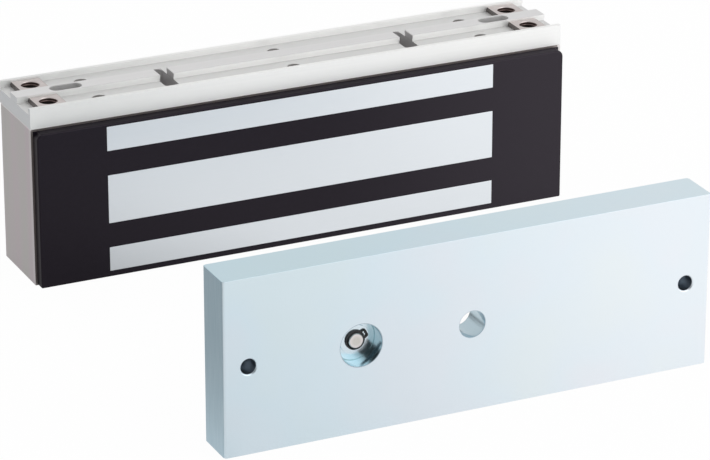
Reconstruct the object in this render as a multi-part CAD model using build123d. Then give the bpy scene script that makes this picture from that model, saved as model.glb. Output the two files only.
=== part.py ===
from build123d import *
import os

# Electromagnetic door lock: a magnet with its mounting profile, and the armature plate that the door carries.
# Millimetres, +Z up. The origin is on the floor, in the middle of the set.
# The magnet stands behind (+Y) with its face towards the plate, and the plate stands in front of it (-Y).

os.makedirs("parts", exist_ok=True)

# The set
set_depth = 237.6
plate_shift = -13.5

# Housing, folded and welded stainless sheet, open at the front and at the bottom
magnet_length = 260.0
housing_height = 73.5
housing_depth = 38.0
housing_wall = 1.0
housing_edge_r = 0.8

# Potting block, cast resin that fills the housing and stands proud of its rim
potting_proud = 5.0
potting_corner_r = 3.5
potting_edge_r = 2.0
potting_behind_core = 5.0

# E-shaped lamination stack, its three legs flush with the magnet's face
core_left_gap = 33.5
core_right_gap = 37.0
core_top_gap = 1.3
core_bottom_gap = 2.8
core_rivet_d = 4.0
core_rivet_head_d = 7.0
core_rivet_head_h = 1.8

# Coil on its former, round the middle leg
former_wall = 0.8
coil_cover = 3.0
coil_side_gap = 0.6
coil_corner_share = 0.8

# Circuit board and surge suppressor, in the pocket beside the coil
lead_length = 6.5
lead_d = 1.6
lead_spacing = 16.0
board_thickness = 1.6
board_margin = 5.5
board_height = 44.0
suppressor_d = 9.0
suppressor_thickness = 4.0
suppressor_leg_d = 0.8
suppressor_leg_spacing = 5.0
suppressor_leg_length = 1.5
suppressor_rise = 13.0

# Cable bush, rubber, in the back wall
bush_bore_d = 6.0
bush_neck_d = 9.0
bush_flange_d = 12.0
bush_flange_h = 1.2
bush_inner_flange_h = 1.5
bush_end_distance = 13.0
bush_z = 18.0

# Mounting profile, extruded aluminium with two channels that are undercut for the nuts
profile_base = 6.4
channel_depth = 3.1
channel_width = 14.0
lip_width = 2.0
rib_width = 8.3
profile_setback = 0.2
undercut_drop = 1.75
undercut_depth = 0.35

# Slots through the profile
end_slot_length = 15.0
end_slot_width = 6.6
end_slot_distance = 24.4
cross_slot_length = 23.0
cross_slot_width = 6.5
cross_slot_distance = 71.0

# Square nuts at the ends of both channels, each over a clearance hole in the base
nut_end_distance = 12.0
nut_length = 13.4
nut_width = 13.2
nut_recess = 0.8
nut_foot_play = 0.1
nut_top_chamfer = 0.4
nut_thread_d = 6.8
nut_mouth_d = 9.4
nut_mouth_depth = 0.8
nut_hole_d = 9.0

# Recessed rivets that hold the housing to the profile
rivet_end_distance = 36.0
rivet_pocket_d = 6.5
rivet_pocket_depth = 3.4
rivet_head_d = 5.8
rivet_head_h = 1.4
rivet_shank_d = 3.0
rivet_tail_d = 4.6
rivet_tail_h = 1.0

# Armature plate, a solid steel bar
plate_length = 221.0
plate_height = 77.0
plate_thickness = 20.0
plate_chamfer = 1.2
guide_hole_d = 6.5
guide_hole_depth = 12.0
guide_hole_distance = 11.0
guide_hole_chamfer = 0.3
centre_bore_d = 11.7
centre_bore_length = 14.0

# Push-off pin in the plate, with its spring, washer and retaining ring
pin_distance = 60.5
door_pocket_d = 18.6
door_pocket_depth = 7.5
head_pocket_d = 12.6
web_thickness = 4.0
pin_d = 6.4
pin_clearance = 0.05
pin_head_d = 12.2
pin_head_h = 3.0
pin_proud = 1.8
pin_head_chamfer = 0.8
pin_end = 0.9
pin_end_chamfer = 0.3
washer_d = 12.8
washer_thickness = 1.0
washer_clearance = 0.15
ring_thickness = 0.8
ring_groove_depth = 0.3
ring_groove_play = 0.05
ring_band = 1.4
ring_gap = 0.4
lug_width = 2.1
lug_reach = 1.6
lug_hole_d = 1.2
lug_angle = 45.0
spring_wire_d = 0.9
spring_mean_d = 9.2
spring_turns = 4.0

# Places that several pieces share, from front to back and from bottom to top
profile_back_y = set_depth / 2
profile_depth = 2 * lip_width + 2 * channel_width + rib_width
profile_front_y = profile_back_y - profile_depth
rim_y = profile_front_y - profile_setback
face_y = rim_y - potting_proud
housing_back_y = rim_y + housing_depth
inner_back_y = housing_back_y - housing_wall
left_x = -magnet_length / 2
right_x = magnet_length / 2
inner_left_x = left_x + housing_wall
inner_right_x = right_x - housing_wall
inner_top_z = housing_height - housing_wall
channel_floor_z = housing_height + profile_base
profile_top_z = channel_floor_z + channel_depth
undercut_z = profile_top_z - undercut_drop
foot_width = channel_width + 2 * undercut_depth
rib_y = profile_front_y + lip_width + channel_width + rib_width / 2
channel_pitch = channel_width + rib_width
channel_ys = [rib_y - channel_pitch / 2, rib_y + channel_pitch / 2]

core_left_x = left_x + core_left_gap
core_right_x = right_x - core_right_gap
core_length = core_right_x - core_left_x
core_x = (core_left_x + core_right_x) / 2
core_top_z = inner_top_z - core_top_gap
core_height = core_top_z - core_bottom_gap
core_z = (core_top_z + core_bottom_gap) / 2
leg = core_height / 6
core_back_y = inner_back_y - potting_behind_core
window_back_y = core_back_y - leg
coil_build = leg - former_wall - coil_side_gap
coil_right_x = core_right_x + former_wall + coil_build
coil_y = (face_y + coil_cover + window_back_y) / 2
board_x = coil_right_x + lead_length
board_y = (rim_y + inner_back_y) / 2
bush_x = right_x - bush_end_distance

plate_front_y = -set_depth / 2
plate_back_y = plate_front_y + plate_thickness
plate_left_x = plate_shift - plate_length / 2
plate_right_x = plate_shift + plate_length / 2
plate_z = plate_height / 2
pin_x = plate_left_x + pin_distance
web_front_y = plate_front_y + door_pocket_depth
web_back_y = web_front_y + web_thickness
washer_front_y = web_front_y - washer_thickness
ring_front_y = washer_front_y - ring_thickness
pin_front_y = ring_front_y - pin_end
pin_back_y = plate_back_y + pin_proud
head_front_y = pin_back_y - pin_head_h


def block(x0, x1, y0, y1, z0, z1):
    """A box between two corners."""
    size = Box(x1 - x0, y1 - y0, z1 - z0)
    return Pos((x0 + x1) / 2, (y0 + y1) / 2, (z0 + z1) / 2) * size


def rod_x(x0, x1, y, z, d):
    """A round bar along X."""
    return Pos((x0 + x1) / 2, y, z) * Rot(0, 90, 0) * Cylinder(d / 2, x1 - x0)


def rod_y(x, y0, y1, z, d):
    """A round bar along Y."""
    return Pos(x, (y0 + y1) / 2, z) * Rot(90, 0, 0) * Cylinder(d / 2, y1 - y0)


def rod_z(x, y, z0, z1, d):
    """A round bar along Z."""
    return Pos(x, y, (z0 + z1) / 2) * Cylinder(d / 2, z1 - z0)


def cone_y(x, y0, y1, z, d0, d1):
    """A cone along Y, d0 wide at y0 and d1 wide at y1."""
    return Pos(x, (y0 + y1) / 2, z) * Rot(90, 0, 0) * Cone(d1 / 2, d0 / 2, y1 - y0)


def cone_z(x, y, z0, z1, d0, d1):
    """A cone along Z, d0 wide at z0 and d1 wide at z1."""
    return Pos(x, y, (z0 + z1) / 2) * Cone(d0 / 2, d1 / 2, z1 - z0)


def front_plane(x, y, z):
    """A plane across Y whose normal points to the door side, with +X to the right and +Z up."""
    return Plane(origin=(x, y, z), x_dir=(1, 0, 0), z_dir=(0, -1, 0))


def mirrored_x(distance):
    """The two places that lie one distance in from the magnet's ends."""
    return [left_x + distance, right_x - distance]


# The folded housing: the outside with its small edge radii, less the inside, which is open below and in front.
def make_housing():
    shell = block(left_x, right_x, rim_y, housing_back_y, 0, housing_height)
    top_edges = shell.edges().group_by(Axis.Z)[-1]
    back_edges = shell.faces().sort_by(Axis.Y)[-1].edges()
    front_and_bottom = shell.faces().sort_by(Axis.Y)[0].edges() + shell.edges().group_by(Axis.Z)[0]
    outer = [e for e in top_edges + back_edges if all(e.center() != f.center() for f in front_and_bottom)]
    shell = fillet(outer, housing_edge_r)
    shell -= block(inner_left_x, inner_right_x, rim_y, inner_back_y, 0, inner_top_z)
    shell -= rod_y(bush_x, inner_back_y, housing_back_y, bush_z, bush_neck_d)
    for x in rivet_xs():
        for y in channel_ys:
            shell -= rod_z(x, y, inner_top_z, housing_height, rivet_shank_d)
    return shell


# The lamination stack: an E lying on its back, drawn across the stack and extruded along it.
def make_core_stack():
    stack = block(core_left_x, core_right_x, face_y, core_back_y, core_bottom_gap, core_top_z)
    for z in (core_z - 1.5 * leg, core_z + 1.5 * leg):
        stack -= block(core_left_x, core_right_x, face_y, window_back_y, z - leg / 2, z + leg / 2)
    for y, z in core_rivet_places():
        stack -= rod_x(core_left_x, core_right_x, y, z, core_rivet_d)
    return stack


def core_rivet_places():
    """Where the rivets run through the stack: the tips of the outer legs and the corners of the yoke."""
    return [(y, z) for y in (face_y + leg / 2, core_back_y - leg / 2)
            for z in (core_bottom_gap + leg / 2, core_top_z - leg / 2)]


def make_core_rivets():
    rivets = []
    for y, z in core_rivet_places():
        rivet = rod_x(core_left_x, core_right_x, y, z, core_rivet_d)
        rivet += rod_x(core_left_x - core_rivet_head_h, core_left_x, y, z, core_rivet_head_d)
        rivet += rod_x(core_right_x, core_right_x + core_rivet_head_h, y, z, core_rivet_head_d)
        rivets.append(rivet)
    return rivets


def leg_outline(distance):
    """The middle leg's outline, or a rounded one at a distance off it."""
    length = core_length + 2 * distance
    height = 2 * leg + 2 * distance
    if distance == 0:
        return Rectangle(length, height)
    return RectangleRounded(length, height, coil_corner_share * distance)


def leg_ring(y0, y1, inside, outside):
    """A racetrack round the middle leg, from one distance off the leg to another."""
    section = leg_outline(outside) - leg_outline(inside)
    return extrude(front_plane(core_x, y1, core_z) * section, y1 - y0)


# The former: a tube on the middle leg with a flange at each end of the coil.
def make_coil_former():
    y0 = face_y + coil_cover
    tube = leg_ring(y0, window_back_y, 0, former_wall)
    tube += leg_ring(y0, y0 + former_wall, 0, former_wall + coil_build)
    tube += leg_ring(window_back_y - former_wall, window_back_y, 0, former_wall + coil_build)
    return tube


def make_coil():
    y0 = face_y + coil_cover + former_wall
    return leg_ring(y0, window_back_y - former_wall, former_wall, former_wall + coil_build)


def make_coil_leads():
    return [rod_x(coil_right_x, board_x, coil_y, core_z + side * lead_spacing / 2, lead_d) for side in (-1, 1)]


def make_circuit_board():
    return block(board_x, board_x + board_thickness, rim_y + board_margin, inner_back_y - board_margin,
                 core_z - board_height / 2, core_z + board_height / 2)


# The surge suppressor: a disc that stands on the board on its two legs.
def make_surge_suppressor():
    foot_x = board_x + board_thickness
    disc_x = foot_x + suppressor_leg_length + suppressor_d / 2
    disc_z = core_z + suppressor_rise
    disc = rod_y(disc_x, board_y - suppressor_thickness / 2, board_y + suppressor_thickness / 2, disc_z, suppressor_d)
    for side in (-1, 1):
        leg_z = disc_z + side * suppressor_leg_spacing / 2
        disc += rod_x(foot_x, disc_x, board_y, leg_z, suppressor_leg_d)
    return disc


def make_cable_bush():
    bush = rod_y(bush_x, inner_back_y - bush_inner_flange_h, housing_back_y + bush_flange_h, bush_z, bush_neck_d)
    bush += rod_y(bush_x, housing_back_y, housing_back_y + bush_flange_h, bush_z, bush_flange_d)
    bush += rod_y(bush_x, inner_back_y - bush_inner_flange_h, inner_back_y, bush_z, bush_flange_d)
    bush -= rod_y(bush_x, inner_back_y - bush_inner_flange_h, housing_back_y + bush_flange_h, bush_z, bush_bore_d)
    return bush


# The potting: what was poured round the core, the coil and the board, with a rounded block in front of the rim.
def make_potting(buried):
    width = inner_right_x - inner_left_x
    front = extrude(front_plane(0, rim_y, inner_top_z / 2) * RectangleRounded(width, inner_top_z, potting_corner_r),
                    potting_proud)
    front = fillet(front.faces().sort_by(Axis.Y)[0].edges(), potting_edge_r)
    body = front + block(inner_left_x, inner_right_x, rim_y, inner_back_y, 0, inner_top_z)
    for piece in buried:
        body -= piece
    return body - rod_y(bush_x, inner_back_y - bush_inner_flange_h, inner_back_y, bush_z, bush_bore_d)


# The profile: base, two lips and a middle rib, with slots, rivet pockets and nut holes cut in it.
def make_mounting_profile():
    bar = block(left_x, right_x, profile_front_y, profile_back_y, housing_height, profile_top_z)
    for y in channel_ys:
        bar -= block(left_x, right_x, y - channel_width / 2, y + channel_width / 2, channel_floor_z, profile_top_z)
        bar -= block(left_x, right_x, y - foot_width / 2, y + foot_width / 2, channel_floor_z, undercut_z)
    height = profile_top_z - housing_height
    for x in mirrored_x(end_slot_distance):
        bar -= extrude(Pos(x, rib_y, housing_height) * SlotOverall(end_slot_length, end_slot_width), height)
    for x in mirrored_x(cross_slot_distance):
        slot = SlotOverall(cross_slot_length, cross_slot_width, rotation=90)
        bar -= extrude(Pos(x, rib_y, housing_height) * slot, height)
    for y in channel_ys:
        for x in rivet_xs():
            bar -= rod_z(x, y, housing_height, channel_floor_z, rivet_shank_d)
            bar -= rod_z(x, y, channel_floor_z - rivet_pocket_depth, channel_floor_z, rivet_pocket_d)
        for x in mirrored_x(nut_end_distance):
            bar -= rod_z(x, y, housing_height, channel_floor_z, nut_hole_d)
    return bar


def rivet_xs():
    """Where the rivets stand along the profile: one near each end and one in the middle."""
    return [left_x + rivet_end_distance, 0, right_x - rivet_end_distance]


# The nuts: a square block whose wider foot reaches under both lips, with a countersunk mouth to its thread.
def make_slot_nuts():
    nuts = []
    head_top = profile_top_z - nut_recess
    foot_top = undercut_z - nut_foot_play
    for x in mirrored_x(nut_end_distance):
        for y in channel_ys:
            head = block(x - nut_length / 2, x + nut_length / 2, y - nut_width / 2, y + nut_width / 2,
                         channel_floor_z, head_top)
            nut = chamfer(head.faces().sort_by(Axis.Z)[-1].edges(), nut_top_chamfer)
            nut += block(x - nut_length / 2, x + nut_length / 2, y - foot_width / 2, y + foot_width / 2,
                         channel_floor_z, foot_top)
            nut -= rod_z(x, y, channel_floor_z, head_top, nut_thread_d)
            nut -= cone_z(x, y, head_top - nut_mouth_depth, head_top, nut_thread_d, nut_mouth_d)
            nuts.append(nut)
    return nuts


# The rivets: a head in its pocket, a shank through base and housing, and a flat tail under the housing's top.
def make_profile_rivets():
    rivets = []
    seat_z = channel_floor_z - rivet_pocket_depth
    for x in rivet_xs():
        for y in channel_ys:
            rivet = rod_z(x, y, seat_z, seat_z + rivet_head_h, rivet_head_d)
            rivet += rod_z(x, y, inner_top_z, seat_z, rivet_shank_d)
            rivet += rod_z(x, y, inner_top_z - rivet_tail_h, inner_top_z, rivet_tail_d)
            rivets.append(rivet)
    return rivets


# The armature plate: guide holes near its ends, the countersunk bore in its middle and the stepped pin bore.
def make_armature_plate():
    plate = block(plate_left_x, plate_right_x, plate_front_y, plate_back_y, 0, plate_height)
    plate = chamfer(plate.edges(), plate_chamfer)
    for x in (plate_left_x + guide_hole_distance, plate_right_x - guide_hole_distance):
        mouth_d = guide_hole_d + 2 * guide_hole_chamfer
        plate -= rod_y(x, plate_front_y, plate_front_y + guide_hole_depth, plate_z, guide_hole_d)
        plate -= cone_y(x, plate_front_y, plate_front_y + guide_hole_chamfer, plate_z, mouth_d, guide_hole_d)
    sink_y = plate_front_y + centre_bore_length
    sink_d = centre_bore_d + 2 * (plate_back_y - sink_y)
    plate -= rod_y(plate_shift, plate_front_y, plate_back_y, plate_z, centre_bore_d)
    plate -= cone_y(plate_shift, sink_y, plate_back_y, plate_z, centre_bore_d, sink_d)
    plate -= rod_y(pin_x, plate_front_y, web_front_y, plate_z, door_pocket_d)
    plate -= rod_y(pin_x, web_front_y, web_back_y, plate_z, pin_d + 2 * pin_clearance)
    plate -= rod_y(pin_x, web_back_y, plate_back_y, plate_z, head_pocket_d)
    return plate


# The push-off pin: its head stands proud of the contact side, and its far end carries the ring in a groove.
def make_push_off_pin():
    head = rod_y(pin_x, head_front_y, pin_back_y, plate_z, pin_head_d)
    head = chamfer(head.faces().sort_by(Axis.Y)[-1].edges(), pin_head_chamfer)
    shank = rod_y(pin_x, pin_front_y, head_front_y, plate_z, pin_d)
    shank = chamfer(shank.faces().sort_by(Axis.Y)[0].edges(), pin_end_chamfer)
    groove_front = ring_front_y - ring_groove_play
    groove_back = washer_front_y + ring_groove_play
    cut = rod_y(pin_x, groove_front, groove_back, plate_z, 2 * pin_d)
    cut -= rod_y(pin_x, groove_front, groove_back, plate_z, pin_d - 2 * ring_groove_depth)
    return head + shank - cut


def make_pin_washer():
    washer = rod_y(pin_x, washer_front_y, web_front_y, plate_z, washer_d)
    return washer - rod_y(pin_x, washer_front_y, web_front_y, plate_z, pin_d + 2 * washer_clearance)


# The retaining ring: a sprung band that is open at one side, with a lug and its eye at each side of the opening.
def make_retaining_ring():
    inner_r = pin_d / 2 - ring_groove_depth
    outer_r = inner_r + ring_band
    eye_r = outer_r + lug_reach - lug_width / 2
    eye_offset = (ring_gap + lug_width) / 2
    band = Circle(outer_r)
    for side in (-1, 1):
        band += Pos(eye_r, side * eye_offset) * Circle(lug_width / 2)
        band += Pos(eye_r / 2, side * eye_offset) * Rectangle(eye_r, lug_width)
    band -= Circle(inner_r)
    band -= Pos(eye_r, 0) * Rectangle(2 * eye_r, ring_gap)
    for side in (-1, 1):
        band -= Pos(eye_r, side * eye_offset) * Circle(lug_hole_d / 2)
    place = front_plane(pin_x, washer_front_y, plate_z) * Rot(0, 0, lug_angle)
    return extrude(place * band, ring_thickness)


# The spring: round wire wound between the web and the pin's head.
def make_push_off_spring():
    rise = head_front_y - web_back_y - spring_wire_d
    wire_path = Helix(rise / spring_turns, rise, spring_mean_d / 2)
    section = Plane(origin=wire_path @ 0, z_dir=wire_path % 0) * Circle(spring_wire_d / 2)
    coil = sweep(section, path=wire_path)
    return Pos(pin_x, web_back_y + spring_wire_d / 2, plate_z) * Rot(-90, 0, 0) * coil


housing = make_housing()
core_stack = make_core_stack()
core_rivets = make_core_rivets()
coil_former = make_coil_former()
coil = make_coil()
coil_leads = make_coil_leads()
circuit_board = make_circuit_board()
surge_suppressor = make_surge_suppressor()
cable_bush = make_cable_bush()
profile_rivets = make_profile_rivets()
buried = [core_stack, coil_former, coil, circuit_board, surge_suppressor, cable_bush]
buried += core_rivets + coil_leads + profile_rivets

pieces = {
    "housing": housing,
    "core_stack": core_stack,
    "core_rivets": core_rivets,
    "coil_former": coil_former,
    "coil": coil,
    "coil_leads": coil_leads,
    "circuit_board": circuit_board,
    "surge_suppressor": surge_suppressor,
    "cable_bush": cable_bush,
    "potting": make_potting(buried),
    "mounting_profile": make_mounting_profile(),
    "slot_nuts": make_slot_nuts(),
    "profile_rivets": profile_rivets,
    "armature_plate": make_armature_plate(),
    "push_off_pin": make_push_off_pin(),
    "push_off_spring": make_push_off_spring(),
    "pin_washer": make_pin_washer(),
    "retaining_ring": make_retaining_ring(),
}

for name, piece in pieces.items():
    shape = Compound(children=piece) if isinstance(piece, list) else piece
    export_step(shape, f"parts/{name}.step")
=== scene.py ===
import bmesh
import bpy
import math
from mathutils import Matrix, Vector


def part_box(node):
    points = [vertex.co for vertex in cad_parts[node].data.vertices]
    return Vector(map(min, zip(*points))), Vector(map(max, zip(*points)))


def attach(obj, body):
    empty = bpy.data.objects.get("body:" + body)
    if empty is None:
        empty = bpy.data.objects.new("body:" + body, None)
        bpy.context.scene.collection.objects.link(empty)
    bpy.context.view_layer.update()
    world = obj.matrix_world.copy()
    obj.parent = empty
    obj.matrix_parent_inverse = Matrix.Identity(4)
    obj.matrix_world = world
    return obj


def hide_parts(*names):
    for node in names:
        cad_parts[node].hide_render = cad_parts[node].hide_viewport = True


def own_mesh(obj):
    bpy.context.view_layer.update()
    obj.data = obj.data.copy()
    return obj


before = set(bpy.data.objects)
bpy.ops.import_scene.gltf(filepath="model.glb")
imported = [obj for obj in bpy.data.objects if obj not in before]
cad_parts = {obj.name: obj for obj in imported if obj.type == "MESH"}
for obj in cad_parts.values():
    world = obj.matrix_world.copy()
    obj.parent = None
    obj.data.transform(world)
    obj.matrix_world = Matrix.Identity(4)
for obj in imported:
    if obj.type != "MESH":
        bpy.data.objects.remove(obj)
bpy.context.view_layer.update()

# The view: a long lens that looks down on the set from the front left, over the plate at the magnet.
lens_mm = 199.34
camera_place = (-0.67734, -1.42727, 0.68752)
camera_pitch = math.radians(22.5)
camera_yaw = math.radians(25.03)

bpy.ops.object.select_all(action="DESELECT")
bpy.ops.object.camera_add(location=camera_place, rotation=(math.pi / 2 - camera_pitch, 0, -camera_yaw))
camera = bpy.context.object
camera.name = "view_camera"
camera.data.lens = lens_mm
camera.data.sensor_width = 36
camera.data.clip_start = 0.05
camera.data.clip_end = 50
bpy.context.scene.camera = camera
bpy.context.scene.view_settings.view_transform = "Standard"


# The floor and the backdrop: one wide white sheet, and a white room round it.
# The camera sees both as white, and a little of the shadow under the set stays. What metal mirrors of the floor is a
# painted
# glow: it is dimmer towards the back left and brighter towards the front right, with a painted bright spot on the
# left.
class Wire:
    """A socket's value inside one finish. Arithmetic on it adds Math nodes."""

    def __init__(self, finish, socket):
        self.finish = finish
        self.socket = socket

    def maths(self, operation, *values):
        return self.finish.node("Math", {"operation": operation}, *values)

    def __add__(self, other):
        return self.maths("ADD", self, other)

    def __radd__(self, other):
        return self.maths("ADD", other, self)

    def __sub__(self, other):
        return self.maths("SUBTRACT", self, other)

    def __rsub__(self, other):
        return self.maths("SUBTRACT", other, self)

    def __mul__(self, other):
        return self.maths("MULTIPLY", self, other)

    def __rmul__(self, other):
        return self.maths("MULTIPLY", other, self)


class Finish:
    """A material, or the world, built up one node at a time."""

    def __init__(self, name, owner=None):
        self.owner = owner or bpy.data.materials.new(name)
        self.owner.use_nodes = True
        self.tree = self.owner.node_tree
        self.tree.nodes.clear()

    def node(self, kind, settings, *values, out=0, **named):
        """Adds a node: its settings first, then its sockets in order or by identifier. Returns one output."""
        made = self.tree.nodes.new("ShaderNode" + kind)
        for key, value in settings.items():
            if key == "stops":
                self.set_stops(made.color_ramp, value)
            else:
                setattr(made, key, value)
        for socket, value in zip(made.inputs, values):
            self.feed(socket, value)
        for key, value in named.items():
            wanted = key.replace("_", " ")
            socket = next(s for s in made.inputs if s.identifier in (key, wanted) or s.name == wanted)
            self.feed(socket, value)
        outputs = [s for s in made.outputs if s.enabled]
        if isinstance(out, str):
            return Wire(self, next(s for s in outputs if s.name == out))
        return Wire(self, outputs[out])

    def set_stops(self, ramp, stops):
        while len(ramp.elements) < len(stops):
            ramp.elements.new(1)
        for element, (place, colour) in zip(ramp.elements, stops):
            element.position = place
            element.color = (*colour, 1)

    def feed(self, socket, value):
        if isinstance(value, Wire):
            self.tree.links.new(value.socket, socket)
        elif socket.type == "RGBA" and len(value) == 3:
            socket.default_value = (*value, 1)
        else:
            socket.default_value = value

    def mix(self, factor, low, high):
        """A blend of two colours."""
        return self.node("Mix", {"data_type": "RGBA"}, Factor_Float=factor, A_Color=low, B_Color=high, out="Result")

    def place(self, scale=(1, 1, 1)):
        """The point on the piece, in metres, scaled along each axis."""
        point = self.node("TexCoord", {}, out="Object")
        return self.node("Mapping", {}, Vector=point, Scale=scale)

    def noise(self, scale, detail=3, stretch=(1, 1, 1)):
        """A soft pattern from nought to one, drawn out along an axis where its stretch is small."""
        return self.node("TexNoise", {}, Vector=self.place(stretch), Scale=scale, Detail=detail, out="Fac")

    def axis(self, name):
        """The point's place along X, Y or Z, in metres."""
        return self.node("SeparateXYZ", {}, self.place(), out=name)

    def absolute(self, value):
        return self.node("Math", {"operation": "ABSOLUTE"}, value)

    def below(self, value, limit):
        """One where a value is under its limit, and nought elsewhere."""
        return self.node("Math", {"operation": "LESS_THAN"}, value, limit)

    def in_hole(self, x, z, radius, until):
        """One in a round hole along Y, down to a depth, and nought outside it."""
        away = self.node("VectorMath", {"operation": "DISTANCE"}, self.place((1, 0, 1)), (x, 0, z), out="Value")
        return self.below(away, radius) * self.below(self.axis("Y"), until)

    def rise(self, value, start, end):
        """Climbs smoothly from nought to one as a value goes from start to end."""
        return self.node("MapRange", {"interpolation_type": "SMOOTHSTEP"}, value, start, end, 0, 1, out="Result")

    def bump(self, height, strength, distance):
        return self.node("Bump", {}, Height=height, Strength=strength, Distance=distance)

    def close(self, shader, output="OutputMaterial"):
        """Links a shader to the output that a material or the world ends in."""
        end = self.tree.nodes.new("ShaderNode" + output)
        self.tree.links.new(shader.socket, end.inputs["Surface"])
        return self.owner

    def surface(self, **sockets):
        """Ends the material in one Principled surface."""
        return self.close(self.node("BsdfPrincipled", {}, **sockets))


floor_half = 6.0
floor_shown = 0.97
mirrored_share = 0.85
bright_way = (0.8, -0.6, 0)
glow_from = -0.2
glow_to = 0.3
glow_stops = [(0.16, 0.48), (0.32, 0.88), (0.5, 0.93), (0.68, 0.97), (0.85, 1.0)]
bright_spot_place = (-0.23, -0.17, 0)
bright_spot_inner = 0.04
bright_spot_outer = 0.08
room_level = 0.78
room_mirrored = 0.8
dark_side = (-0.39, -0.84, 0.38)
dark_level = 0.04
opening_from = 0.75
opening_to = 0.92

bpy.ops.object.select_all(action="DESELECT")
bpy.ops.mesh.primitive_plane_add(size=2 * floor_half)
floor = bpy.context.object
floor.name = "floor"
sheet = Finish("floor_paper")
path = sheet.node("LightPath", {}, out="Is Camera Ray")
gloss = sheet.node("LightPath", {}, out="Is Glossy Ray") + sheet.node("LightPath", {}, out="Is Transmission Ray")
# Painted light that only reflections see: the floor's glow rises from dim at the back left to bright at the front
# right, and a soft painted bright spot on the left turns it white.
along = sheet.node("VectorMath", {"operation": "DOT_PRODUCT"}, sheet.place(), bright_way, out="Value")
along = sheet.node("MapRange", {}, along, glow_from, glow_to, 0, 1, out="Result")
glow = sheet.node("ValToRGB", {"stops": [(place, (level,) * 3) for place, level in glow_stops]}, along, out="Color")
aside = sheet.node("VectorMath", {"operation": "DISTANCE"}, sheet.place(), bright_spot_place, out="Value")
bright_spot = sheet.rise(aside, bright_spot_outer, bright_spot_inner)
glow = sheet.mix(path, sheet.mix(bright_spot, glow, (1, 1, 1)), (1, 1, 1))
paper = sheet.node("BsdfDiffuse", {}, Color=(0.9, 0.9, 0.9))
white = sheet.node("Emission", {}, Color=glow)
share = path * floor_shown + gloss * mirrored_share
floor.data.materials.append(sheet.close(sheet.node("MixShader", {}, share, paper, white)))

# The room is white, but the side where the camera stands is a dark opening, which only metal mirrors.
room = Finish("room", bpy.context.scene.world or bpy.data.worlds.new("room"))
bpy.context.scene.world = room.owner
seen = room.node("LightPath", {}, out="Is Camera Ray")
mirrored = room.node("LightPath", {}, out="Is Glossy Ray") + room.node("LightPath", {}, out="Is Transmission Ray")
way = room.node("TexCoord", {}, out="Generated")
toward = room.node("VectorMath", {"operation": "DOT_PRODUCT"}, way, dark_side, out="Value")
opening = room.rise(toward, opening_from, opening_to)
shown = room_mirrored + opening * (dark_level - room_mirrored)
level = room_level + seen * (1 - room_level) + mirrored * (shown - room_level)
room.close(room.node("Background", {}, Color=(1, 1, 1), Strength=level), "OutputWorld")


# The key lamp: a large soft panel at the front right.
key_place = Vector((0.8, -1.15, 0.78))
key_aim = Vector((0.05, 0, 0.03))

bpy.ops.object.select_all(action="DESELECT")
bpy.ops.object.light_add(type="AREA", location=key_place,
                         rotation=(key_aim - key_place).to_track_quat("-Z", "Y").to_euler())
key = bpy.context.object
key.name = "key_lamp"
key.data.size = 2.2
key.data.energy = 13


# The armature plate: a bar of mild steel, sawn, with broken edges, drilled and then zinc plated blue-white.
# It has two guide holes, a countersunk bore in its middle and the stepped bore of the push-off pin.
def block(name, low, high):
    """A cube primitive that is sized and placed between two corners."""
    bpy.ops.object.select_all(action="DESELECT")
    low, high = Vector(low), Vector(high)
    bpy.ops.mesh.primitive_cube_add(size=1, location=(low + high) / 2, scale=high - low)
    piece = bpy.context.object
    piece.name = name
    bpy.ops.object.transform_apply(location=True, rotation=True, scale=True)
    return piece


def turned(name, foot, axis, stations, sides=64):
    """A turned piece: a disc, extruded along its axis and scaled at each station (distance, radius)."""
    foot, axis = Vector(foot), Vector(axis)
    start, radius = stations[0]
    bpy.ops.object.select_all(action="DESELECT")
    bpy.ops.mesh.primitive_circle_add(vertices=sides, radius=radius, fill_type="NGON", location=foot + axis * start,
                                      rotation=axis.to_track_quat("Z", "Y").to_euler())
    piece = bpy.context.object
    piece.name = name
    bpy.ops.object.transform_apply(location=True, rotation=True, scale=True)
    bpy.ops.object.mode_set(mode="EDIT")
    bpy.ops.mesh.select_all(action="SELECT")
    for distance, wide in stations[1:]:
        bpy.ops.mesh.extrude_region_move(TRANSFORM_OT_translate={"value": axis * (distance - start)})
        bpy.ops.transform.resize(value=[wide / radius] * 3, center_override=foot + axis * distance)
        start, radius = distance, wide
    bpy.ops.mesh.select_all(action="SELECT")
    bpy.ops.mesh.normals_make_consistent(inside=False)
    bpy.ops.object.mode_set(mode="OBJECT")
    return piece


def make_active(piece):
    bpy.ops.object.select_all(action="DESELECT")
    piece.select_set(True)
    bpy.context.view_layer.objects.active = piece


def apply(piece, kind, **settings):
    """Adds one modifier with its settings and applies it."""
    modifier = piece.modifiers.new(kind.lower(), kind)
    for key, value in settings.items():
        setattr(modifier, key, value)
    make_active(piece)
    bpy.ops.object.modifier_apply(modifier=modifier.name)


def pick_edges(piece, chosen):
    """Opens a piece in edit mode with the chosen edges selected. The choice is made from an edge's two ends."""
    make_active(piece)
    bpy.ops.object.mode_set(mode="EDIT")
    bpy.ops.mesh.select_all(action="DESELECT")
    bpy.ops.mesh.select_mode(type="EDGE")
    mesh = bmesh.from_edit_mesh(piece.data)
    for edge in mesh.edges:
        one, two = (v.co for v in edge.verts)
        edge.select_set(bool(chosen(one, two)))
    bmesh.update_edit_mesh(piece.data)


def cut(piece, *cutters):
    """Takes each cutter's shape out of the piece, and clears the cutter away."""
    for cutter in cutters:
        apply(piece, "BOOLEAN", operation="DIFFERENCE", solver="EXACT", object=cutter)
        bpy.data.objects.remove(cutter)


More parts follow.
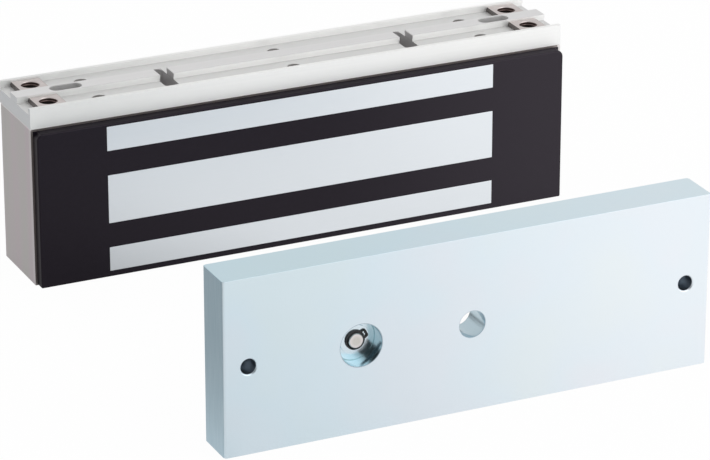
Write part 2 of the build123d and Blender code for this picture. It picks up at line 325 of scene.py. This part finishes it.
def soften(piece, width, segments=2, angle=35):
    """Rounds every sharp edge by one small width and shades the rest smooth."""
    apply(piece, "BEVEL", width=width, segments=segments, limit_method="ANGLE", angle_limit=math.radians(angle),
          use_clamp_overlap=True)
    make_active(piece)
    bpy.ops.object.shade_smooth_by_angle(angle=math.radians(angle))
    apply(piece, "WEIGHTED_NORMAL", mode="FACE_AREA", weight=50, keep_sharp=True)


def dress(piece, material, body, slot, *nodes):
    """Gives a finished piece its material and body, and hides the solids that it stands for. Its slot is not used."""
    piece.data.materials.clear()
    piece.data.materials.append(material)
    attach(piece, body)
    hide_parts(*nodes)


guide_hole_r = 0.00325
guide_hole_depth = 0.012
guide_hole_inset = 0.011
guide_hole_break = 0.0005
drill_tip = 0.001625
upright_edge = 0.0012
centre_bore_r = 0.00585
centre_bore_length = 0.014
door_pocket_r = 0.0093
door_pocket_depth = 0.0075
head_pocket_r = 0.0063
web = 0.004
shank_hole_r = 0.00325
# A cutter reaches past a surface by the first, and a colour ends a few of the second off the edge that it follows.
past = 0.001
hair = 0.0001

plate_low, plate_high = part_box("armature_plate")
plate_middle = (plate_low + plate_high) / 2
pin_low, pin_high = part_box("push_off_pin")
pin_x = (pin_low.x + pin_high.x) / 2
thick = plate_high.y - plate_low.y
guide_hole_xs = (plate_low.x + guide_hole_inset, plate_high.x - guide_hole_inset)

plate = block("armature_plate_body", plate_low, plate_high)
pick_edges(plate, lambda one, two: abs(one.z - two.z) > past)
bpy.ops.mesh.bevel(offset=upright_edge, segments=2, affect="EDGES")
bpy.ops.object.mode_set(mode="OBJECT")
for hole_x in guide_hole_xs:
    cut(plate, turned("drill", (hole_x, plate_low.y, plate_middle.z), (0, 1, 0),
                      [(-past, guide_hole_r + past + guide_hole_break), (guide_hole_break, guide_hole_r),
                       (guide_hole_depth, guide_hole_r), (guide_hole_depth + drill_tip, hair)]))
sink_r = centre_bore_r + thick - centre_bore_length
cut(plate, turned("countersink", (plate_middle.x, plate_low.y, plate_middle.z), (0, 1, 0),
                  [(-past, centre_bore_r), (centre_bore_length, centre_bore_r), (thick, sink_r),
                   (thick + past, sink_r)]))
cut(plate, turned("stepped_drill", (pin_x, plate_low.y, plate_middle.z), (0, 1, 0),
                  [(-past, door_pocket_r), (door_pocket_depth, door_pocket_r), (door_pocket_depth, shank_hole_r),
                   (door_pocket_depth + web, shank_hole_r), (door_pocket_depth + web, head_pocket_r),
                   (thick + past, head_pocket_r)]))
soften(plate, width=0.00018)

zinc = Finish("blue_white_zinc")
cloud = zinc.noise(16, detail=2)
patch = zinc.noise(90, detail=5)
grain = zinc.noise(900, detail=2, stretch=(1, 1, 0.25))
saw_mark = zinc.noise(1600, detail=2, stretch=(1, 1, 0.04))
off_middle = zinc.absolute(zinc.axis("X") - plate_middle.x)
sawn_shaded_end = 1 - zinc.below(off_middle, plate_high.x - plate_middle.x - 2 * hair)
pocket_end = plate_low.y + door_pocket_depth + past
turned_floor = zinc.in_hole(pin_x, plate_middle.z, door_pocket_r - 3 * hair, pocket_end)
shaded_turned_bore = zinc.in_hole(pin_x, plate_middle.z, door_pocket_r + hair, pocket_end) - turned_floor
through_bore = zinc.in_hole(plate_middle.x, plate_middle.z, centre_bore_r + hair, plate_high.y)
blind_hole = sum(zinc.in_hole(x, plate_middle.z, guide_hole_r + hair, plate_high.y - 2 * past) for x in guide_hole_xs)


def mouth(x, radius, width):
    """One on a narrow ring round a hole's mouth in the door side, and nought elsewhere."""
    end = plate_low.y + 4 * hair
    return (zinc.in_hole(x, plate_middle.z, radius + width, end)
            - zinc.in_hole(x, plate_middle.z, radius - hair, end))


pocket_mouth = mouth(pin_x, door_pocket_r, 0.00035)
bore_mouth = mouth(plate_middle.x, centre_bore_r, 0.0003)
tint = zinc.node("ValToRGB", {"stops": [(0.36, (0.84, 0.84, 0.89)), (0.5, (0.77, 0.87, 0.93)),
                                        (0.64, (0.80, 0.88, 0.88))]}, cloud, out="Color")
# Painted light: the zinc is painted darker towards the plate's left end and lighter towards its right end.
lit_to_right = zinc.rise(zinc.axis("X"), plate_low.x, plate_high.x)
zinc_colour = zinc.mix(lit_to_right, (0.60, 0.73, 0.80), (0.90, 0.94, 0.98))
zinc_colour = zinc.mix(0.35, zinc_colour, tint)
zinc_colour = zinc.mix(patch * 0.2, zinc_colour, (0.76, 0.84, 0.92))
# The sawn end faces carry real saw marks; their darker colour is painted shade.
zinc_colour = zinc.mix(sawn_shaded_end, zinc_colour, zinc.mix(saw_mark, (0.41, 0.55, 0.63), (0.55, 0.68, 0.75)))
# Painted reflection: the top face is tinted cyan, as it mirrors the room above.
painted_top_tint = 1 - zinc.below(zinc.axis("Z"), plate_high.z - hair)
zinc_colour = zinc.mix(painted_top_tint * 0.25, zinc_colour, (0.55, 0.85, 0.95))
# Painted shade in the hollows: the pocket's turned wall, a thin line round the mouths of the pocket and the centre
# bore, the centre bore and the guide holes are painted darker.
zinc_colour = zinc.mix(shaded_turned_bore, zinc_colour, (0.40, 0.56, 0.61))
zinc_colour = zinc.mix(pocket_mouth * 0.7 + bore_mouth * 0.5, zinc_colour, (0.36, 0.44, 0.50))
zinc_colour = zinc.mix(through_bore * 0.8, zinc_colour, (0.48, 0.62, 0.69))
zinc_colour = zinc.mix(blind_hole, zinc_colour, (0.46, 0.51, 0.56))
zinc_rough = 0.3 + patch * 0.12 + sawn_shaded_end * 0.12 - shaded_turned_bore * 0.25 - turned_floor * 0.12 - through_bore * 0.16
zinc_metal = zinc.surface(Base_Color=zinc_colour, Metallic=1, Roughness=zinc_rough,
                          Normal=zinc.bump(grain + sawn_shaded_end * saw_mark * 2, strength=0.12, distance=0.0001))
dress(plate, zinc_metal, "lock", "zinc_plated", "armature_plate")


# The washer under the retaining ring: a plain steel disc, zinc plated like the plate. It lies loose on the web of
# the plate's bore, and the ring holds it there.
def coat(node, material):
    """Gives a solid that stays as it is a material of its own."""
    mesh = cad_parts[node].data
    mesh.materials.clear()
    mesh.materials.append(material)


coat("pin_washer", zinc_metal)


# The core: a riveted stack of E-shaped sheets of silicon steel. Its three legs come forward through the resin
# and are ground flush with the magnet's face, so they show as three bright poles.
core_low, core_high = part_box("core_stack")
sixth = (core_high.z - core_low.z) / 6
window_back = core_high.y - sixth
sheet_half = 0.00025
legs = [(core_low.z + first * sixth, core_low.z + last * sixth) for first, last in ((0, 1), (2, 4), (5, 6))]


def pick_faces(piece, chosen):
    """Opens a piece in edit mode with the chosen faces selected."""
    make_active(piece)
    bpy.ops.object.mode_set(mode="EDIT")
    bpy.ops.mesh.select_mode(type="FACE")
    mesh = bmesh.from_edit_mesh(piece.data)
    for face in mesh.faces:
        face.select_set(bool(chosen(face)))
    bmesh.update_edit_mesh(piece.data)


def slice_at(piece, points, normal):
    """Cuts the piece's faces along planes without opening it."""
    make_active(piece)
    bpy.ops.object.mode_set(mode="EDIT")
    for point in points:
        bpy.ops.mesh.select_all(action="SELECT")
        bpy.ops.mesh.bisect(plane_co=point, plane_no=normal)
    bpy.ops.object.mode_set(mode="OBJECT")


core = block("core_sheets", (core_low.x, window_back, core_low.z), core_high)
slice_at(core, [(0, 0, edge) for leg in legs for edge in leg], (0, 0, 1))
pick_faces(core, lambda face: face.normal.y < -0.9
           and any(low < face.calc_center_median().z < high for low, high in legs))
bpy.ops.mesh.extrude_region_move(TRANSFORM_OT_translate={"value": (0, core_low.y - window_back, 0)})
bpy.ops.object.mode_set(mode="OBJECT")
soften(core, width=0.00022)

ground = Finish("ground_silicon_steel")
sheet_line = ground.node("Math", {"operation": "PINGPONG"}, ground.axis("X"), sheet_half)
sheet_shade = ground.node("Math", {"operation": "SMOOTH_MIN"}, sheet_line * (1 / sheet_half), 1, 0.3)
scratch = ground.noise(1500, detail=2, stretch=(0.02, 1, 1))
ground_colour = ground.mix(scratch * 0.4, (0.82, 0.86, 0.90), (0.88, 0.91, 0.93))
ground_metal = ground.surface(Base_Color=ground_colour, Metallic=1, Roughness=0.3 + scratch * 0.12,
                              Normal=ground.bump(sheet_shade, strength=0.04, distance=0.0001))
dress(core, ground_metal, "lock", "lamination", "core_stack")


# The potting: black resin, poured round the core, the coil and the board, and standing proud of the housing's rim.
# Its face has a rounded edge, and corners that are round above and nearly sharp below.
potting_low, potting_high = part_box("potting")
rim_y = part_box("housing")[0].y
potting_corner_r = 0.003
potting_foot_r = 0.0007
potting_edge_r = 0.002
potting_middle_z = (potting_low.z + potting_high.z) / 2
potting_step = 0.00003
pole_pocket_depth = 0.003

resin = block("potting_block", (potting_low.x, rim_y, potting_low.z), potting_high)
pick_faces(resin, lambda face: face.normal.y < -0.9)
bpy.ops.mesh.inset(thickness=potting_step)
bpy.ops.mesh.extrude_region_move(TRANSFORM_OT_translate={"value": (0, potting_low.y - rim_y, 0)})
bpy.ops.object.mode_set(mode="OBJECT")
for upper, corner_r in ((False, potting_foot_r), (True, potting_corner_r)):
    pick_edges(resin, lambda one, two: abs(one.y - two.y) > past and max(one.y, two.y) < rim_y + hair
               and (one.z > potting_middle_z) == upper)
    bpy.ops.mesh.bevel(offset=corner_r, segments=6, affect="EDGES")
    bpy.ops.object.mode_set(mode="OBJECT")
pick_faces(resin, lambda face: face.normal.y < -0.9 and face.calc_center_median().y < rim_y - past)
bpy.ops.mesh.bevel(offset=potting_edge_r, segments=5, affect="EDGES", clamp_overlap=True)
bpy.ops.object.mode_set(mode="OBJECT")
for low, high in legs:
    cut(resin, block("pole_pocket", (core_low.x, potting_low.y - past, low),
                     (core_high.x, potting_low.y + pole_pocket_depth, high)))
soften(resin, width=0.00012, angle=50)

black = Finish("black_resin")
wave = black.noise(35, detail=3)
speck = black.noise(700, detail=3)
black_colour = black.mix(speck, (0.0035, 0.0025, 0.005), (0.007, 0.0055, 0.009))
# Painted light: the resin is painted a little lighter towards its right end.
black_colour = black.mix(black.rise(black.axis("X"), 0, potting_high.x), black_colour, (0.021, 0.018, 0.023))
top_face = 1 - black.below(black.axis("Z"), potting_high.z - 2 * hair)
black_resin = black.surface(Base_Color=black_colour, Specular_IOR_Level=0.27, Specular_Tint=(0.97, 0.84, 1.0),
                            Roughness=0.3 + wave * 0.1 + speck * 0.05 + top_face * 0.3,
                            Normal=black.bump(wave + speck * 0.15, strength=0.2, distance=0.0006))
dress(resin, black_resin, "lock", "potting_resin", "potting")


# The housing: a tray of brushed stainless sheet, folded and welded at its corners, open in front and below. Six
# rivets fix it under the mounting profile, and the resin fills it.
housing_low, housing_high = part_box("housing")
sheet_wall = 0.001
fold_r = 0.0008
highlight_from = 0.0035
highlight_to = 0.0012
cut_depth = 0.00015
lit_end = 0.0015

housing = block("housing_shell", housing_low, housing_high)
pick_faces(housing, lambda face: face.normal.y < -0.9 or face.normal.z < -0.9)
bpy.ops.mesh.delete(type="FACE")
bpy.ops.object.mode_set(mode="OBJECT")
apply(housing, "BEVEL", width=fold_r, segments=3, limit_method="ANGLE")
apply(housing, "SOLIDIFY", thickness=sheet_wall, offset=-1, use_even_offset=True)
soften(housing, width=0.00012)

brushed = Finish("brushed_stainless")
stroke = brushed.noise(1800, detail=3, stretch=(1, 1, 0.03))
band = brushed.noise(70, detail=1, stretch=(1, 1, 0.05))
# Painted highlight: a lighter band along the housing's front edge.
painted_edge_highlight = brushed.rise(brushed.axis("Y"), housing_low.y + highlight_from, housing_low.y + highlight_to)
# Painted shade: the sheet's cut front edge is dark, except near the right end, where it is left lit.
shaded_cut_edge = brushed.below(brushed.axis("Y"), housing_low.y + cut_depth)
shaded_cut_edge = shaded_cut_edge * brushed.below(brushed.axis("X"), housing_high.x - lit_end)
band_tint = brushed.node("ValToRGB", {"stops": [(0.35, (0.71, 0.605, 0.655)), (0.5, (0.685, 0.635, 0.645)),
                                                (0.65, (0.66, 0.64, 0.625))]}, band, out="Color")
brushed_colour = brushed.mix(stroke * 0.3, band_tint, (0.80, 0.76, 0.75))
brushed_colour = brushed.mix(painted_edge_highlight * 0.3, brushed_colour, (0.92, 0.91, 0.90))
brushed_colour = brushed.mix(shaded_cut_edge, brushed_colour, (0.32, 0.285, 0.275))
# Painted shade: the housing's top, under the profile, is painted darker.
shaded_under_profile = 1 - brushed.below(brushed.axis("Z"), housing_high.z - hair)
brushed_colour = brushed.mix(shaded_under_profile * 0.7, brushed_colour, (0.42, 0.405, 0.405))
stainless = brushed.surface(Base_Color=brushed_colour, Metallic=1, Roughness=0.34 + stroke * 0.14,
                            Normal=brushed.bump(stroke, strength=0.1, distance=0.0001))
dress(housing, stainless, "lock", "stainless", "housing")


# The mounting profile: extruded aluminium, satin anodised, with two undercut channels and a middle rib.
# Two long slots in the rib and two slots across it take screws, small round pockets hold the rivets, and a wider
# hole lies under each nut. A slot's sizes are its length, its width and how far it lies from the profile's end.
profile_low, profile_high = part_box("mounting_profile")
profile_base = 0.0064
lip = 0.002
channel = 0.014
undercut = 0.00035
undercut_drop = 0.00175
end_slot = (0.015, 0.0066, 0.0244)
cross_slot = (0.023, 0.0065, 0.071)
pocket_r = 0.00325
pocket_drop = 0.0034
pocket_inset = 0.036
nut_hole_r = 0.0045
nut_inset = 0.012
shade_from_x = -0.02

rib_y = (profile_low.y + profile_high.y) / 2
channel_floor = profile_low.z + profile_base
channel_ys = (profile_low.y + lip + channel / 2, profile_high.y - lip - channel / 2)
nut_xs = (profile_low.x + nut_inset, profile_high.x - nut_inset)
rivet_xs = (profile_low.x + pocket_inset, 0, profile_high.x - pocket_inset)
off_rib_row = channel_ys[1] - rib_y
tall = profile_high.z - profile_low.z + 2 * past


def obround(name, centre, length, width, along_y, height):
    """A slot-shaped cutter: a round bar whose two halves are moved apart."""
    cutter = turned(name, centre, (0, 0, 1), [(0, width / 2), (height, width / 2)], 48)
    way = Vector((0, 1, 0)) if along_y else Vector((1, 0, 0))
    middle = Vector(centre)
    for vertex in cutter.data.vertices:
        side = (vertex.co - middle).dot(way)
        if abs(side) > hair / 100:
            vertex.co += way * math.copysign((length - width) / 2, side)
    return cutter


profile = block("profile_extrusion", profile_low, profile_high)
for y in channel_ys:
    cut(profile, block("channel", (profile_low.x - past, y - channel / 2, channel_floor),
                       (profile_high.x + past, y + channel / 2, profile_high.z + past)),
        block("undercut", (profile_low.x - past, y - channel / 2 - undercut, channel_floor),
              (profile_high.x + past, y + channel / 2 + undercut, profile_high.z - undercut_drop)))
for side in (-1, 1):
    for name, (length, width, inset), along_y in (("end_slot", end_slot, False), ("cross_slot", cross_slot, True)):
        centre = (side * (profile_high.x - inset), rib_y, profile_low.z - past)
        cut(profile, obround(name, centre, length, width, along_y, tall))
for y in channel_ys:
    for x in rivet_xs:
        foot = (x, y, channel_floor - pocket_drop)
        cut(profile, turned("pocket", foot, (0, 0, 1), [(0, pocket_r), (tall, pocket_r)]))
    for x in nut_xs:
        foot = (x, y, profile_low.z - past)
        cut(profile, turned("nut_hole", foot, (0, 0, 1), [(0, nut_hole_r), (tall, nut_hole_r)]))
soften(profile, width=0.00012)


def from_nearest_nut(finish):
    """How far a point is from the axis of the nearest nut: all four corners are folded on to one."""
    point, nut_axis = finish.place((1, 1, 0)), (nut_xs[1], off_rib_row, 0)
    corner = finish.node("VectorMath", {"operation": "SUBTRACT"}, point, (0, rib_y, 0), out="Vector")
    corner = finish.node("VectorMath", {"operation": "ABSOLUTE"}, corner, out="Vector")
    return finish.node("VectorMath", {"operation": "DISTANCE"}, corner, nut_axis, out="Value")


satin = Finish("satin_aluminium")
draw_line = satin.noise(900, detail=3, stretch=(0.01, 1, 1))
dust = satin.noise(300, detail=4)
satin_colour = satin.mix(draw_line, (0.93, 0.93, 0.92), (0.99, 0.99, 0.98))
# Painted shade: the aluminium is painted darker towards the profile's left end.
shaded_to_left = satin.rise(satin.axis("X"), shade_from_x, profile_low.x)
satin_colour = satin.mix(shaded_to_left * 0.8, satin_colour, (0.80, 0.81, 0.80))
off_rib = satin.absolute(satin.axis("Y") - rib_y)
off_centre = satin.absolute(satin.axis("X"))
under_top = satin.below(satin.axis("Z"), profile_high.z - 4 * hair)
under_floor = satin.below(satin.axis("Z"), channel_floor - 2 * hair)


def box_mask(centre_x, half_x, centre_y, half_y):
    """One inside a box, which is mirrored to both ends and both sides of the rib, and nought outside it."""
    across = satin.below(satin.absolute(off_rib - centre_y), half_y + hair)
    return across * satin.below(satin.absolute(off_centre - centre_x), half_x + hair)


# Painted shade: the channels' floors are painted darker.
shaded_channel_floor = satin.below(satin.axis("Z"), channel_floor + 3 * hair)
shaded_channel_floor = shaded_channel_floor * (1 - satin.below(satin.axis("Z"), channel_floor - 3 * hair))
shaded_channel_floor = shaded_channel_floor * satin.below(off_rib, off_rib_row + channel / 2 + undercut + hair)
satin_colour = satin.mix(shaded_channel_floor, satin_colour, (0.755, 0.755, 0.75))
# Painted shade: the profile's end faces are painted darker and a little bluer.
shaded_profile_end = 1 - satin.below(off_centre, profile_high.x - hair)
satin_colour = satin.mix(shaded_profile_end * 0.8, satin_colour, (0.70, 0.715, 0.735))
# Painted shade: the hole under each nut is painted nearly black.
shaded_nut_hole = satin.below(from_nearest_nut(satin), nut_hole_r + hair) * under_floor
satin_colour = satin.mix(shaded_nut_hole, satin_colour, (0.10, 0.085, 0.08))
# Painted shade: the middle rib's top is painted darker, with its drawing lines.
shaded_rib_top = satin.below(off_rib, off_rib_row - channel / 2) * (1 - satin.below(satin.axis("Z"), profile_high.z - hair))
satin_colour = satin.mix(shaded_rib_top, satin_colour, satin.mix(draw_line, (0.76, 0.755, 0.755), (0.82, 0.815, 0.815)))
# Painted shade: the end slots and the cross slots are painted darker inside.
in_end_slot = box_mask(profile_high.x - end_slot[2], end_slot[0] / 2, 0, end_slot[1] / 2)
in_cross_slot = box_mask(profile_high.x - cross_slot[2], cross_slot[1] / 2, 0, cross_slot[0] / 2)
satin_colour = satin.mix((in_end_slot * 0.5 + in_cross_slot * 0.75) * under_top, satin_colour, (0.46, 0.45, 0.455))
# Painted shade: the rivet pockets are painted dark brown-grey inside.
in_pocket = sum(box_mask(x, pocket_r, off_rib_row, pocket_r) for x in rivet_xs[1:]) * under_floor
satin_colour = satin.mix(in_pocket * 0.8, satin_colour, (0.36, 0.33, 0.32))
front_face = satin.below(satin.axis("Y"), profile_low.y + hair)
aluminium = satin.surface(Base_Color=satin_colour, Metallic=0.65 - front_face * 0.3,
                          Roughness=0.46 + draw_line * 0.12 + dust * 0.05,
                          Normal=satin.bump(draw_line, strength=0.12, distance=0.0002))
dress(profile, aluminium, "lock", "profile_aluminium", "mounting_profile")


# The nuts: four square stainless nuts in the channels' ends, each with a countersunk mouth and an M8 thread.
# Their wider feet reach under the channels' lips. One is made, and the other three are copies of it.
nuts_low, nuts_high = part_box("slot_nuts")
nut_half = 0.0067
nut_upper_half = 0.0066
nut_foot_half = channel / 2 + undercut
foot_play = 0.0001
foot_top = profile_high.z - undercut_drop - foot_play
nut_height = nuts_high.z - nuts_low.z
thread_r = 0.0034
thread_root_r = 0.004
mouth_r = 0.0044
mouth_depth = 0.0005
foot_step = 0.0001
thread_rise = 0.0006
thread_half = 0.00055

nut_x, nut_y = nut_xs[0], channel_ys[0]
nut = block("slot_nut_1", (nut_x - nut_half, nut_y - nut_foot_half, nuts_low.z),
            (nut_x + nut_half, nut_y + nut_foot_half, foot_top))
pick_faces(nut, lambda face: face.normal.z > 0.9)
bpy.ops.mesh.inset(thickness=foot_step)
bpy.ops.mesh.extrude_region_move(TRANSFORM_OT_translate={"value": (0, 0, nuts_high.z - foot_top)})
squeeze = nut_upper_half / (nut_foot_half - foot_step)
bpy.ops.transform.resize(value=(1, squeeze, 1), center_override=(nut_x, nut_y, nuts_high.z))
bpy.ops.object.mode_set(mode="OBJECT")
cut(nut, turned("tap", (nut_x, nut_y, nuts_low.z), (0, 0, 1),
                [(-past, thread_root_r), (nut_height - mouth_depth, thread_root_r), (nut_height, mouth_r),
                 (nut_height + past, mouth_r + past)]))
soften(nut, width=0.0003, segments=3)

# The thread: a small triangle that climbs once round the wall of the hole.
bpy.ops.object.select_all(action="DESELECT")
bpy.ops.mesh.primitive_circle_add(vertices=3, radius=thread_r)
ridge = bpy.context.object
corners = ((thread_r, 0), (thread_root_r + hair, thread_half), (thread_root_r + hair, -thread_half))
for vertex, (out, up) in zip(ridge.data.vertices, corners):
    vertex.co = (out, 0, up)
ridge.data.transform(Matrix.Translation((0, 0, thread_rise)))
apply(ridge, "SCREW", angle=2 * math.pi, screw_offset=thread_rise, iterations=1, steps=48, render_steps=48,
      use_merge_vertices=False)
pick_faces(ridge, lambda face: True)
bpy.ops.mesh.normals_make_consistent(inside=False)
bpy.ops.object.mode_set(mode="OBJECT")
ridge.data.transform(Matrix.Translation((nut_x, nut_y, nuts_low.z)))
bpy.ops.object.select_all(action="DESELECT")
ridge.select_set(True)
nut.select_set(True)
bpy.context.view_layer.objects.active = nut
bpy.ops.object.join()

warm = Finish("stainless_nut")
blotch = warm.noise(260, detail=4)
turning = warm.noise(1400, detail=2, stretch=(0.2, 1, 1))
warm_colour = warm.mix(blotch, (0.57, 0.51, 0.50), (0.74, 0.69, 0.67))
shaded_tapped_hole = warm.below(from_nearest_nut(warm), thread_root_r + hair)
shaded_nut_end = 1 - warm.below(warm.absolute(warm.absolute(warm.axis("X")) - nut_xs[1]), nut_half - 2 * hair)
# Painted shade: each nut's tapped hole is painted dark brown.
warm_colour = warm.mix(shaded_tapped_hole, warm_colour, (0.21, 0.155, 0.145))
# Painted shade: the nuts' end faces are painted dark.
warm_colour = warm.mix(shaded_nut_end, warm_colour, (0.2, 0.18, 0.175))
nut_steel = warm.surface(Base_Color=warm_colour, Metallic=1, Roughness=0.3 + turning * 0.15,
                         Normal=warm.bump(turning, strength=0.1, distance=0.0001))
dress(nut, nut_steel, "lock", "nut_steel", "slot_nuts")
other_places = [(nut_xs[1], channel_ys[0]), (nut_xs[0], channel_ys[1]), (nut_xs[1], channel_ys[1])]
for number, (x, y) in enumerate(other_places, start=2):
    make_active(nut)
    bpy.ops.object.duplicate()
    twin = bpy.context.object
    twin.name = f"slot_nut_{number}"
    twin.data.transform(Matrix.Translation((x - nut_x, y - nut_y, 0)))
    dress(twin, nut_steel, "lock", "nut_steel", "slot_nuts")


# The push-off pin: turned bright steel. It slides in the plate's web, and its head stands proud of the contact
# side. The spring pushes it out, and the retaining ring stops it.
bright_r = 0.0012
rim_r = 0.0026

lathe = Finish("turned_steel")
ring_line = lathe.noise(1200, detail=2, stretch=(1, 0.1, 1))
pin_axis = (pin_x, 0, plate_middle.z)
off_pin = lathe.node("VectorMath", {"operation": "DISTANCE"}, lathe.place((1, 0, 1)), pin_axis, out="Value")
lathe_colour = lathe.mix(ring_line, (0.58, 0.565, 0.52), (0.68, 0.65, 0.62))
# Painted highlight: the pin is painted lighter outwards from near its axis towards its rim.
lathe_colour = lathe.mix(lathe.rise(off_pin, bright_r, rim_r), lathe_colour, (0.75, 0.71, 0.70))
coat("push_off_pin", lathe.surface(Base_Color=lathe_colour, Metallic=1, Roughness=0.28 + ring_line * 0.15,
                                   Normal=lathe.bump(ring_line, strength=0.08, distance=0.0001)))


# The retaining ring: a black phosphated spring steel ring in the pin's groove, over the washer. It is open at one
# side, where its snout has an eye on each side of the gap for the pliers.
ring_thick = 0.0006
ring_inner_r = 0.0029
ring_outer_r = 0.0043
snout_reach = 0.0059
snout_base = 0.0048
snout_tip = 0.0036
snout_gap = 0.0003
snout_corner_r = 0.0008
eye_r = 0.00057
eye_out = 0.0046
eye_aside = 0.00068
snout_turn = math.radians(27)

ring = turned("retaining_ring_body", (0, 0, 0), (0, -1, 0), [(0, ring_outer_r), (ring_thick, ring_outer_r)], 72)
snout = block("snout", (past, -ring_thick, -snout_base / 2), (snout_reach, 0, snout_base / 2))
pick_faces(snout, lambda face: face.normal.x > 0.9)
bpy.ops.transform.resize(value=(1, 1, snout_tip / snout_base), center_override=(snout_reach, 0, 0))
bpy.ops.object.mode_set(mode="OBJECT")
pick_edges(snout, lambda one, two: abs(one.y - two.y) > ring_thick / 2 and one.x > snout_reach - hair)
bpy.ops.mesh.bevel(offset=snout_corner_r, segments=5, affect="EDGES")
bpy.ops.object.mode_set(mode="OBJECT")
apply(ring, "BOOLEAN", operation="UNION", solver="EXACT", object=snout)
bpy.data.objects.remove(snout)
cut(ring, turned("groove", (0, past, 0), (0, -1, 0), [(0, ring_inner_r), (3 * past, ring_inner_r)]),
    block("gap", (0, -past, -snout_gap / 2), (snout_reach + past, past, snout_gap / 2)),
    *[turned("eye", (eye_out, past, side * eye_aside), (0, -1, 0), [(0, eye_r), (3 * past, eye_r)], 24)
      for side in (-1, 1)])
soften(ring, width=0.00008)
ring_seat = Matrix.Translation((pin_x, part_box("retaining_ring")[1].y, plate_middle.z))
ring.data.transform(ring_seat @ Matrix.Rotation(-snout_turn, 4, "Y"))

phosphate = Finish("black_phosphate")
soot = phosphate.noise(900, detail=3)
phosphate_colour = phosphate.mix(soot, (0.012, 0.012, 0.014), (0.03, 0.03, 0.033))
ring_black = phosphate.surface(Base_Color=phosphate_colour, Metallic=0.3, Roughness=0.35 + soot * 0.15)
dress(ring, ring_black, "pin", "ring_black", "retaining_ring")


# The spring: plain spring wire round the pin's shank, caught between the web and the pin's head. In the lock it
# shortens by the pin's travel; here it is drawn at one length, on a mesh of its own.
wire = Finish("spring_wire")
drawn = wire.noise(1500, detail=2)
wire_colour = wire.mix(drawn, (0.30, 0.30, 0.31), (0.45, 0.45, 0.46))
coat("push_off_spring", wire.surface(Base_Color=wire_colour, Metallic=1, Roughness=0.3 + drawn * 0.1))
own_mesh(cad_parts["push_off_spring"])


# The rivets: plain steel. Six go through the profile's pockets and the housing's top, and four hold the core's
# sheets together.
rivet = Finish("rivet_steel")
dull = rivet.noise(500, detail=3)
rivet_colour = rivet.mix(dull, (0.34, 0.34, 0.35), (0.5, 0.5, 0.5))
rivet_steel = rivet.surface(Base_Color=rivet_colour, Metallic=1, Roughness=0.4 + dull * 0.15)
coat("profile_rivets", rivet_steel)
coat("core_rivets", rivet_steel)


# The cable bush: moulded black rubber, snapped into a hole in the housing's back wall, with a flange on each side
# of the sheet.
rubber = Finish("moulded_rubber")
pore = rubber.noise(1100, detail=3)
rubber_colour = rubber.mix(pore, (0.012, 0.012, 0.012), (0.028, 0.028, 0.028))
coat("cable_bush", rubber.surface(Base_Color=rubber_colour, Roughness=0.6 + pore * 0.2))


# What the resin holds, seen from no side: the nylon former on the core's middle leg, the enamelled copper coil on
# it, the sleeved leads, the glass fibre board and the suppressor.
nylon = Finish("nylon_former")
nylon_shade = nylon.noise(120, detail=3)
coat("coil_former", nylon.surface(Base_Color=nylon.mix(nylon_shade, (0.66, 0.65, 0.60), (0.74, 0.73, 0.69)),
                                  Roughness=0.5))
copper = Finish("enamelled_copper")
turn_line = copper.noise(1400, detail=2, stretch=(0.02, 1, 0.02))
coat("coil", copper.surface(Base_Color=copper.mix(turn_line, (0.28, 0.08, 0.03), (0.50, 0.17, 0.06)), Metallic=0.8,
                            Roughness=0.3, Normal=copper.bump(turn_line, strength=0.3, distance=0.0002)))
sleeve = Finish("lead_sleeve")
sleeve_shade = sleeve.noise(300, detail=3)
coat("coil_leads", sleeve.surface(Base_Color=sleeve.mix(sleeve_shade, (0.3, 0.01, 0.01), (0.4, 0.02, 0.015)),
                                  Roughness=0.4))
fibre = Finish("glass_fibre_board")
weave = fibre.noise(900, detail=2, stretch=(1, 1, 0.2))
coat("circuit_board", fibre.surface(Base_Color=fibre.mix(weave, (0.01, 0.06, 0.02), (0.02, 0.10, 0.04)),
                                    Roughness=0.35))
lacquer = Finish("suppressor_lacquer")
dip = lacquer.noise(300, detail=3)
coat("surge_suppressor", lacquer.surface(Base_Color=lacquer.mix(dip, (0.01, 0.04, 0.2), (0.02, 0.07, 0.28)),
                                         Roughness=0.25))
